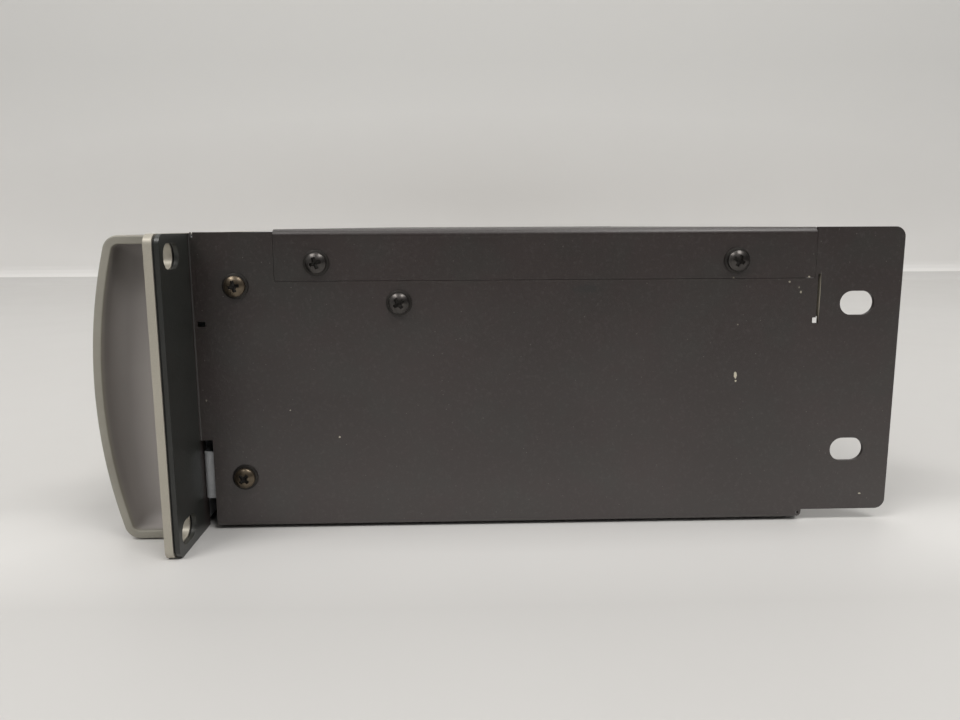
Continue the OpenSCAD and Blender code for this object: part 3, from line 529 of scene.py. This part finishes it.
def arc(centre, radius, start, end, steps):
    """Points on an arc, angles in degrees, both ends included."""
    angles = [math.radians(start + (end - start) * i / steps) for i in range(steps + 1)]
    return [(centre[0] + radius * math.cos(a), centre[1] + radius * math.sin(a)) for a in angles]


def sharpen(piece, angle=40):
    """Marks edges above that angle as sharp, so that flat faces stay flat."""
    shape = bmesh.new()
    shape.from_mesh(piece.data)
    for edge in shape.edges:
        if len(edge.link_faces) == 2 and edge.calc_face_angle(0) > math.radians(angle):
            edge.smooth = False
    shape.to_mesh(piece.data)
    shape.free()


# ---------- wing handles ----------

handle_low, handle_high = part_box("handle_right")

# The box of a handle, the radii of its nose and corners, the width of the rim and the depth of the scoop.
HANDLE = {
    "back": handle_high.y,
    "nose": handle_low.y,
    "half": (handle_high.z - handle_low.z) / 2,
    "inner": handle_low.x,
    "outer": handle_high.x,
    "nose_r": 153 * MM,
    "corner_r": 4.5 * MM,
    "rim": 2.4 * MM,
    "scoop": 8 * MM,
}


def handle_ring(inset, back_inset):
    """Outline of a handle in Y and Z: a long arc at the nose, two round corners and a flat back."""
    least_corner = 1.4 * MM
    corner = max(HANDLE["corner_r"] - inset, least_corner)
    half = HANDLE["half"] - inset
    centre_y = HANDLE["nose"] + HANDLE["nose_r"]
    long_r = HANDLE["nose_r"] - inset
    corner_z = half - corner
    corner_y = centre_y - math.sqrt((long_r - corner) ** 2 - corner_z ** 2)
    meet = math.degrees(math.asin(corner_z / (long_r - corner)))
    back = HANDLE["back"] - back_inset
    top = [(back + (corner_y - back) * i / 8, half) for i in range(8)]
    nose = arc((corner_y, corner_z), corner, 90, 180 - meet, 12)
    nose += arc((centre_y, 0), long_r, 180 - meet, 180 + meet, 72)[1:-1]
    nose += arc((corner_y, -corner_z), corner, 180 + meet, 270, 12)
    bottom = [(y, -z) for y, z in reversed(top)]
    side = [(back, -half + 2 * half * i / 24) for i in range(1, 24)]
    return top + nose + bottom + side


def handle_profile():
    """Steps from the inner face, over the rim and into the scoop: distance along X, inset and back inset."""
    inner, outer, rim = (HANDLE[k] for k in ("inner", "outer", "rim"))
    back = 2 * MM
    edge = 0.5 * MM
    lip = 0.35 * MM
    bowl = 4.2 * MM
    drop = 0.2 * MM
    steps = [(inner, edge, edge)]
    steps += [(inner + edge * (1 - math.cos(a)), edge * (1 - math.sin(a)), edge * (1 - math.sin(a)))
              for a in (0.3, 0.7, 1.1, math.pi / 2)]
    steps += [(outer - edge * (1 - math.sin(a)), edge * (1 - math.cos(a)), edge * (1 - math.cos(a)))
              for a in (0.0, 0.4, 0.8, 1.2, math.pi / 2)]
    steps += [(outer, rim - lip, back - lip)]
    steps += [(outer - lip * (1 - math.cos(a)), rim - lip + lip * math.sin(a), back - lip + lip * math.sin(a))
              for a in (0.4, 0.8, 1.2, math.pi / 2)]
    floor_x = outer - HANDLE["scoop"]
    steps += [(floor_x + bowl * (1 - math.sin(a)), rim + bowl * (1 - math.cos(a)) + drop,
               back + bowl * (1 - math.cos(a)) + drop)
              for a in [math.pi / 2 * i / 12 for i in range(13)]]
    return steps


def build_handle(side):
    """One handle: closed at the inner face, round at the rim and hollow in the outer face."""
    def build(shape):
        rings = []
        for x, inset, back_inset in handle_profile():
            rings.append([shape.verts.new((side * x, y, z)) for y, z in handle_ring(inset, back_inset)])
        join_rings(shape, rings)
        shape.faces.new(rings[0])
        shape.faces.new(rings[-1])
    return build


for side, word in ((1, "right"), (-1, "left")):
    name = f"wing_handle_{word}"
    sharpen(make_piece(name, build_handle(side), "handle_aluminium", replaced=[f"handle_{word}"]), 50)


# ---------- cross-head screws on the sides ----------

def cross_depth(x, y):
    """Depth of a cross recess at a point of the head: steep walls, and wings that get shallower outwards."""
    reach = 1.65 * MM
    wide = 1.0 * MM
    deep = 1.5 * MM
    wall = 0.12 * MM
    wings = [min(wide / 2 - abs(b), reach - abs(a)) for a, b in ((x, y), (y, x))]
    core = 0.95 * wide - (abs(x) + abs(y)) / math.sqrt(2)
    inside = max(wings + [core])
    if inside <= 0:
        return 0.0
    share = min(inside / wall, 1.0)
    far = min(math.hypot(x, y) / reach, 1.0)
    return share * deep * (1 - 0.55 * far)


def build_screw(shape, seat, out, turn, washer, head_r, head_h, shank_r, shank_l):
    """A pan head screw and its washer. seat is where the washer lies and out is the way the head points.

    The washer and the faces in the cross recess get material 1, a dark finish that paints shade into the recess.
    """
    out = Vector(out)
    up = Vector((0, 0, 1))
    across = up.cross(out).normalized()
    around = 72

    def place(radius, angle, height):
        a = 2 * math.pi * angle / around + turn
        return seat + out * height + across * (radius * math.cos(a)) + up * (radius * math.sin(a))

    def ring(radius, height, cut=False):
        made = []
        for k in range(around):
            a = 2 * math.pi * k / around
            sunk = 0.0
            if cut:
                sunk = cross_depth(radius * math.cos(a), radius * math.sin(a))
            made.append(shape.verts.new(place(radius, k, height - sunk)))
        return made

    washer_r, washer_t = washer
    soft = 0.08 * MM
    bore_r = shank_r + 0.1 * MM
    ring_profile = [(bore_r, 0.0), (washer_r - soft, 0.0), (washer_r, soft), (washer_r, washer_t - soft),
                    (washer_r - soft, washer_t), (bore_r, washer_t), (bore_r, 0.0)]
    for face in join_rings(shape, [ring(r, h) for r, h in ring_profile]):
        face.material_index = 1

    base = washer_t + 0.02 * MM
    crown = head_h * 0.55
    dome_r = (head_r ** 2 + crown ** 2) / (2 * crown)
    tip_r = 0.02 * MM
    cross_r = 1.9 * MM
    dome_end = head_r * 0.96

    def dome(radius):
        return base + head_h - dome_r + math.sqrt(dome_r ** 2 - radius ** 2)

    cross_radii = [tip_r + (cross_r - tip_r) * i / 28 for i in range(29)]
    rings = [ring(r, dome(r), cut=True) for r in cross_radii]
    rings += [ring(r, dome(r)) for r in [cross_r + (dome_end - cross_r) * i / 8 for i in range(1, 9)]]
    side_top = dome(dome_end)
    for r, h in ((0.99, 0.86), (1.0, 0.66), (1.0, 0.2), (0.98, 0.06), (0.95, 0.0)):
        rings.append(ring(head_r * r, base + (side_top - base) * h))
    rings.append(ring(shank_r, base))
    rings.append(ring(shank_r, base - shank_l + 0.4 * MM))
    rings.append(ring(shank_r * 0.7, base - shank_l))
    for face in join_rings(shape, rings) + [shape.faces.new(rings[0])]:
        away = face.calc_center_median() - seat
        x = math.cos(turn) * away.dot(across) + math.sin(turn) * away.dot(up)
        y = math.cos(turn) * away.dot(up) - math.sin(turn) * away.dot(across)
        # Faces inside the cross recess take the dark material as painted shade.
        face.material_index = int(away.dot(out) > base and cross_depth(x, y) > 0)
    shape.faces.new(rings[-1])


def screw_places(node):
    """Side of each screw of a group, and its centre in Y and Z, from the group's own solids."""
    reach = 9 * MM
    spots = []
    for vertex in nodes[node].data.vertices:
        for spot in spots:
            away = math.hypot(vertex.co.y - spot["y"][0], vertex.co.z - spot["z"][0])
            if spot["side"] * vertex.co.x > 0 and away < reach:
                spot["y"].append(vertex.co.y)
                spot["z"].append(vertex.co.z)
                break
        else:
            spots.append({"side": math.copysign(1, vertex.co.x), "y": [vertex.co.y], "z": [vertex.co.z]})
    return [(s["side"], (min(s["y"]) + max(s["y"])) / 2, (min(s["z"]) + max(s["z"])) / 2) for s in spots]


# The washer's radius and thickness, then the head and the shank.
SCREW = {
    "washer": (3.75 * MM, 0.5 * MM),
    "head_r": 3.05 * MM,
    "head_h": 2.1 * MM,
    "shank_r": 1.45 * MM,
    "shank_l": 7 * MM,
}


def side_screws(name, node, finish, turns):
    """Finer screws in the place of a group of side screws, each cross turned by its own angle in degrees."""
    def build(shape):
        for i, (side, y, z) in enumerate(screw_places(node)):
            seat = Vector((side * SIDE_X, y, z))
            build_screw(shape, seat, (side, 0, 0), math.radians(turns[i % len(turns)]), **SCREW)
    piece = make_piece(name, build, finish, replaced=[node])
    # Material 1: the dark washers, and painted shade in the cross recesses.
    piece.data.materials.append(finish_of("washer_and_recess_shade"))
    sharpen(piece, 50)


side_screws("cover_screws_fine", "cover_screws", "black_screws", (20, 65, 40, 10))
side_screws("brace_screws_fine", "brace_screws", "black_screws", (35, 55))
side_screws("bracket_screws_fine", "bracket_screws", "yellow_screws", (12, 48, 30, 70))


# ---------- printed marks and pointers ----------

# Thickness of the printed ink.
INK_T = 0.05 * MM


def add_bar(shape, matrix, width, length, thickness):
    """A flat bar, centred, with its length along the matrix's second axis and its front at zero height."""
    half = Vector((width / 2, length / 2, 0))
    rings = []
    for height, inset in ((-thickness, 0), (-0.2 * thickness, 0), (0, 0.2 * thickness)):
        corners = ((-1, -1), (1, -1), (1, 1), (-1, 1))
        rings.append([shape.verts.new(matrix @ Vector((a * (half.x - inset), b * (half.y - inset), height)))
                      for a, b in corners])
    join_rings(shape, rings)
    shape.faces.new(rings[0])
    shape.faces.new(rings[-1])


def add_arc(shape, matrix, radius, width, start, end, thickness):
    """A flat band on an arc, with angles in degrees from upright, clockwise."""
    steps = max(int(abs(end - start) / 2), 4)
    rings = []
    for i in range(steps + 1):
        a = math.radians(start + (end - start) * i / steps)
        corners = ((radius - width / 2, -thickness), (radius + width / 2, -thickness),
                   (radius + width / 2, 0), (radius - width / 2, 0))
        places = [Vector((r * math.sin(a), r * math.cos(a), h)) for r, h in corners]
        rings.append([shape.verts.new(matrix @ place) for place in places])
    join_rings(shape, rings)
    shape.faces.new(rings[0])
    shape.faces.new(rings[-1])


def add_number(shape, matrix, number, height):
    """A printed number, from the built-in typeface."""
    data = bpy.data.curves.new("number", "FONT")
    data.body = str(number)
    data.size = height * 1.38
    data.align_x = "CENTER"
    data.align_y = "CENTER"
    data.extrude = INK_T / 2
    data.resolution_u = 3
    carrier = bpy.data.objects.new("number", data)
    mesh = bpy.data.meshes.new_from_object(carrier)
    mesh.transform(matrix @ Matrix.Translation((0, 0, -INK_T / 2)))
    shape.from_mesh(mesh)
    bpy.data.objects.remove(carrier)
    bpy.data.curves.remove(data)
    bpy.data.meshes.remove(mesh)


def facing_front(x, y, z, turn=0.0):
    """A drawing plane that looks to the front, with its up along +Z, turned clockwise in degrees."""
    upright_plane = Matrix(((1, 0, 0, 0), (0, 0, -1, 0), (0, 1, 0, 0), (0, 0, 0, 1)))
    return Matrix.Translation((x, y, z)) @ upright_plane @ Matrix.Rotation(-math.radians(turn), 4, "Z")


def facing_rear(x, y, z):
    """A drawing plane that looks to the rear, with its up along +Z."""
    return Matrix.Translation((x, y, z)) @ Matrix(((-1, 0, 0, 0), (0, 0, 1, 0), (0, 1, 0, 0), (0, 0, 0, 1)))


# How far a knob and a needle turn each way from upright, in degrees.
SWEEP = 150
NEEDLE_SWEEP = 40


def middle(node):
    """The middle of a node's box."""
    low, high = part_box(node)
    return (low + high) / 2


def add_ladder_numbers(shape, channel):
    """A number beside each lamp of a gain ladder."""
    low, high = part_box("gain_leds")
    numbers = (20, 16, 12, 9, 6, 4, 2, 1)
    x = middle(f"needle_{channel}").x - 51.5 * MM
    lamp_size = 3 * MM
    pitch = (high.z - low.z - lamp_size) / (len(numbers) - 1)
    for k, number in enumerate(numbers):
        plane = facing_front(x, PANEL_Y - INK_T, low.z + lamp_size / 2 + pitch * k)
        add_number(shape, plane, number, 1.6 * MM)


def add_knob_scale(shape, knob):
    """Eleven marks round a knob, numbered at 0, 5 and 10."""
    marks_r = 12.1 * MM
    numbers_r = 15.7 * MM
    centre = middle(knob)
    for k in range(11):
        turn = SWEEP * (k / 5 - 1)
        numbered = k % 5 == 0
        length = (1.9 if numbered else 1.2) * MM
        plane = facing_front(centre.x, PANEL_Y - INK_T, centre.z, turn)
        add_bar(shape, plane @ Matrix.Translation((0, marks_r + length / 2, 0)), 0.32 * MM, length, INK_T)
        if numbered:
            a = math.radians(turn)
            place = (centre.x + numbers_r * math.sin(a), PANEL_Y - INK_T, centre.z + numbers_r * math.cos(a))
            add_number(shape, facing_front(*place), k, 1.9 * MM)


def build_panel_marks(shape):
    """The knobs' scales, the ladders' numbers, each channel's number and rule, and the rule between them."""
    rule_w = 0.25 * MM
    for knob in KNOBS:
        add_knob_scale(shape, knob)
    for channel in (1, 2):
        lamps_x = middle(f"gain_knob_{channel}").x
        buttons_z = middle(f"auto_button_{channel}").z
        add_number(shape, facing_front(lamps_x, PANEL_Y - INK_T, buttons_z + 9.5 * MM), channel, 3.2 * MM)
        add_ladder_numbers(shape, channel)
        level = facing_front(lamps_x - 17 * MM, PANEL_Y - INK_T, buttons_z + 5.6 * MM, 90)
        add_bar(shape, level, rule_w, 76 * MM, INK_T)
    rule_x = middle("threshold_knob_2").x - 20.5 * MM
    add_bar(shape, facing_front(rule_x, PANEL_Y - INK_T, 0), rule_w, 78 * MM, INK_T)


def build_scale(channel):
    """The scale of a meter, round the needle's axle."""
    axle = joint_place(f"needle_swing_{channel}")
    card_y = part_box("meter_dials")[0].y - INK_T
    marks_r = 30.8 * MM
    numbers_r = 36 * MM

    def build(shape):
        upright = facing_front(axle.x, card_y, axle.z)
        add_arc(shape, upright, 30.5 * MM, 0.4 * MM, -NEEDLE_SWEEP, NEEDLE_SWEEP, INK_T)
        for k in range(21):
            turn = NEEDLE_SWEEP * (k / 10 - 1)
            length = (2.6 if k % 5 == 0 else 1.5) * MM
            plane = facing_front(axle.x, card_y, axle.z, turn)
            add_bar(shape, plane @ Matrix.Translation((0, marks_r + length / 2, 0)), 0.32 * MM, length, INK_T)
            if k % 5 == 0:
                a = math.radians(turn)
                place = (axle.x + numbers_r * math.sin(a), card_y, axle.z + numbers_r * math.cos(a))
                add_number(shape, facing_front(*place), k, 3.1 * MM)
        add_bar(shape, facing_front(axle.x, card_y, axle.z + 12 * MM, 90), 0.3 * MM, 22 * MM, INK_T)
    return build


def build_scale_band(channel):
    """The red band under the last part of a meter's scale."""
    axle = joint_place(f"needle_swing_{channel}")
    card_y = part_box("meter_dials")[0].y - INK_T

    def build(shape):
        add_arc(shape, facing_front(axle.x, card_y, axle.z), 29 * MM, 1.2 * MM, 18, NEEDLE_SWEEP, INK_T)
    return build


def joint_place(name):
    """Where a joint lies."""
    for joint in frame["joints"]:
        if joint["name"] == name:
            return Vector(joint["pos_m"])
    raise KeyError(name)


def build_pointer(knob):
    """The white line in a knob's groove."""
    low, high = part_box(knob)
    centre = (low + high) / 2
    groove = (3.0 * MM, (high.x - low.x) / 2 - 1.35 * MM)
    depth = 0.6 * MM

    def build(shape):
        plane = facing_front(centre.x, low.y + 0.08 * MM, centre.z + sum(groove) / 2)
        add_bar(shape, plane, 0.96 * MM, groove[1] - groove[0] - 0.05 * MM, depth - 0.1 * MM)
    return build


def build_rear_marks(shape):
    """A channel's number over each of its sockets, and a rule over each group of three."""
    rear_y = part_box("rear_panel")[1].y + INK_T
    sockets_z = middle("xlr_sockets").z
    level = Matrix.Rotation(math.pi / 2, 4, "Z")
    for number, sockets_x in ((1, (22, 56, 86)), (2, (127, 161, 191))):
        for x in sockets_x:
            add_number(shape, facing_rear(x * MM, rear_y, sockets_z + 21 * MM), number, 3 * MM)
        plane = facing_rear((sockets_x[0] + 32) * MM, rear_y, sockets_z + 26 * MM)
        add_bar(shape, plane @ level, 0.3 * MM, 84 * MM, INK_T)


# ---------- the lip behind the seam slit ----------

# Thickness of the side plates, then the lip's middle, its size and its gap to the side plate.
SHEET_T = 1.2 * MM
LIP = {"y": 182.1 * MM, "z": 25.4 * MM, "size": (0.4 * MM, 2.4 * MM, 13.2 * MM), "gap": 0.1 * MM}


def build_seam_lips(shape):
    """The cover's turned-in lip, a thin strip inside each side plate that shuts the slit above its hole."""
    x = SIDE_X - SHEET_T - LIP["gap"] - LIP["size"][0] / 2
    for side in (-1, 1):
        place = (side * x, LIP["y"], LIP["z"])
        bmesh.ops.create_cube(shape, size=1, matrix=Matrix.LocRotScale(place, None, LIP["size"]))


sharpen(make_piece("seam_lips", build_seam_lips, "black_steel"))
make_piece("panel_marks", build_panel_marks, "ink_black")
make_piece("rear_marks", build_rear_marks, "ink_white")
for channel in (1, 2):
    make_piece(f"meter_scale_{channel}", build_scale(channel), "ink_black")
    make_piece(f"meter_red_band_{channel}", build_scale_band(channel), "needle_red")
for knob in KNOBS:
    make_piece(f"{knob}_line", build_pointer(knob), "ink_white", body=knob)


# ---------- light, floor and camera ----------

def area_light(name, place, target, size, power, colour):
    """A soft rectangle of light that looks at a target."""
    data = bpy.data.lights.new(name, "AREA")
    data.shape = "RECTANGLE"
    data.size, data.size_y = size
    data.energy = power
    data.color = colour
    lamp_object = bpy.data.objects.new(name, data)
    bpy.context.scene.collection.objects.link(lamp_object)
    lamp_object.location = place
    lamp_object.rotation_euler = (Vector(target) - Vector(place)).to_track_quat("-Z", "Y").to_euler()


WARM = (1.0, 0.98, 0.96)
PALER = (1.0, 0.985, 0.965)
area_light("ceiling_left", (1.1, -0.9, 1.7), (0, 0.05, 0), (0.9, 0.35), 15, WARM)
area_light("ceiling_right", (1.2, 0.9, 1.9), (0, 0.1, 0), (0.9, 0.35), 15, WARM)
area_light("ceiling_over", (0.32, 0.75, 1.9), (0.2, 0.5, 0), (1.1, 0.08), 4, PALER)
area_light("ceiling_back", (-0.4, 0.1, 1.9), (-0.2, 0.1, 0), (1.6, 1.0), 8, PALER)


# The way that leads behind the camera, where the room is darkest.
BEHIND = (0.85, 0.53, 0)

# Colours of the room: ahead of the camera, behind it, overhead, and as the camera itself sees it.
ROOM = {"ahead": "c9c8c6", "behind": "3f3d3c", "ceiling": "bab9b7", "seen": "c8c6c2"}


def build_room():
    """The light of a pale room that is darker behind the camera. The camera itself sees a plain pale wall."""
    world = bpy.data.worlds.new("room")
    bpy.context.scene.world = world
    world.use_nodes = True
    tree = world.node_tree

    def add(kind, **settings):
        made = tree.nodes.new(kind)
        for key, value in settings.items():
            setattr(made, key, value)
        return made

    def ramp(value, low, high):
        made = add("ShaderNodeMapRange", clamp=True)
        tree.links.new(value, made.inputs["Value"])
        made.inputs["From Min"].default_value = low
        made.inputs["From Max"].default_value = high
        return made.outputs["Result"]

    def blend(factor, under, over):
        made = add("ShaderNodeMix", data_type="RGBA")
        tree.links.new(factor, made.inputs[0])
        for socket, value in ((6, under), (7, over)):
            if isinstance(value, bpy.types.NodeSocket):
                tree.links.new(value, made.inputs[socket])
            else:
                made.inputs[socket].default_value = tone(value)
        return made.outputs[2]

    split = add("ShaderNodeSeparateXYZ")
    tree.links.new(add("ShaderNodeTexCoord").outputs["Generated"], split.inputs[0])
    toward = add("ShaderNodeVectorMath", operation="DOT_PRODUCT")
    tree.links.new(add("ShaderNodeTexCoord").outputs["Generated"], toward.inputs[0])
    toward.inputs[1].default_value = BEHIND
    walls = blend(ramp(toward.outputs["Value"], -0.25, 0.5), ROOM["ahead"], ROOM["behind"])
    room = blend(ramp(split.outputs["Z"], 0.25, 0.75), walls, ROOM["ceiling"])
    seen = blend(add("ShaderNodeLightPath").outputs["Is Camera Ray"], room, ROOM["seen"])
    tree.links.new(seen, tree.nodes["Background"].inputs["Color"])


build_room()


def wall_finish():
    """White wall paint, a little grey with height and in a soft shade above the unit."""
    s = Surface("wall_white", "f2f1ef", 0.7)
    s.paint(s.span(s.part(s.place, 2), 0.0, 0.3), "dddddb")
    s.paint(s.span(s.noise(0.3, 3.0), 0.35, 0.75, 0.0, 0.25), "dddcda")
    s.paint(s.span(s.oval(1, 2, (0.11, 0.09), (0.7, 0.11)), 1.2, 0.1, 0.0, 0.35), "b9b6b2")
    s.vary("Roughness", s.noise(0.05, 3.0), 0.62, 0.78)
    s.bump(s.noise(0.8 * MM, 2.0), 0.01 * MM)
    return s.material


def table_finish():
    """A pale table top, with a painted pool of light in front of the unit's right side."""
    s = Surface("table_white", "cecdcb", 0.5)
    s.paint(s.span(s.noise(0.25, 3.0), 0.35, 0.75, 0.0, 0.3), "c8c6c3")
    # Painted light: a pool of light on the table in front of the right side plate.
    s.paint(s.span(s.oval(0, 1, (0.232, 0.1), (0.026, 0.24)), 1.5, 0.3, 0.0, 0.7), "eae9e7")
    s.vary("Roughness", s.noise(0.05, 3.0), 0.42, 0.6)
    s.bump(s.noise(0.6 * MM, 2.0), 0.01 * MM)
    return s.material


def build_stage():
    """A pale table top that runs back to a plain wall, with a small cove between them."""
    level = cad_box[0].z
    reach = 3.0
    wall_x = -0.85
    cove = 0.03
    profile = [(reach, level)]
    profile += arc((wall_x + cove, level + cove), cove, 270, 180, 8)
    profile += [(wall_x, level + reach)]
    shape = bmesh.new()
    rows = [[shape.verts.new((x, y, z)) for x, z in profile] for y in (-reach, reach)]
    join_rings(shape, rows, closed=False)
    bmesh.ops.recalc_face_normals(shape, faces=shape.faces)
    mesh = bpy.data.meshes.new("table_and_wall")
    shape.to_mesh(mesh)
    shape.free()
    mesh.materials.append(table_finish())
    mesh.materials.append(wall_finish())
    for face in mesh.polygons:
        face.material_index = int(face.center.z > level + 0.5 * cove)
    stage = bpy.data.objects.new("table_and_wall", mesh)
    bpy.context.scene.collection.objects.link(stage)


build_stage()

# A pinhole camera a hand's breadth from the right side plate: its lens, its place and where it looks.
camera_data = bpy.data.cameras.new("camera")
camera_data.sensor_width = 36
camera_data.lens = 29.96
camera_data.clip_start = 0.01
camera = bpy.data.objects.new("camera", camera_data)
bpy.context.scene.collection.objects.link(camera)
heading, pitch, roll = (math.radians(a) for a in (1.72, -9.507, -0.272))
forward = Vector((-math.cos(heading) * math.cos(pitch), math.sin(heading) * math.cos(pitch), math.sin(pitch)))
camera.location = (0.4494, 0.0757, 0.0456)
camera.rotation_mode = "QUATERNION"
camera.rotation_quaternion = forward.to_track_quat("-Z", "Y") @ Quaternion((0, 0, 1), roll)
bpy.context.scene.camera = camera
bpy.context.scene.view_settings.view_transform = "Standard"
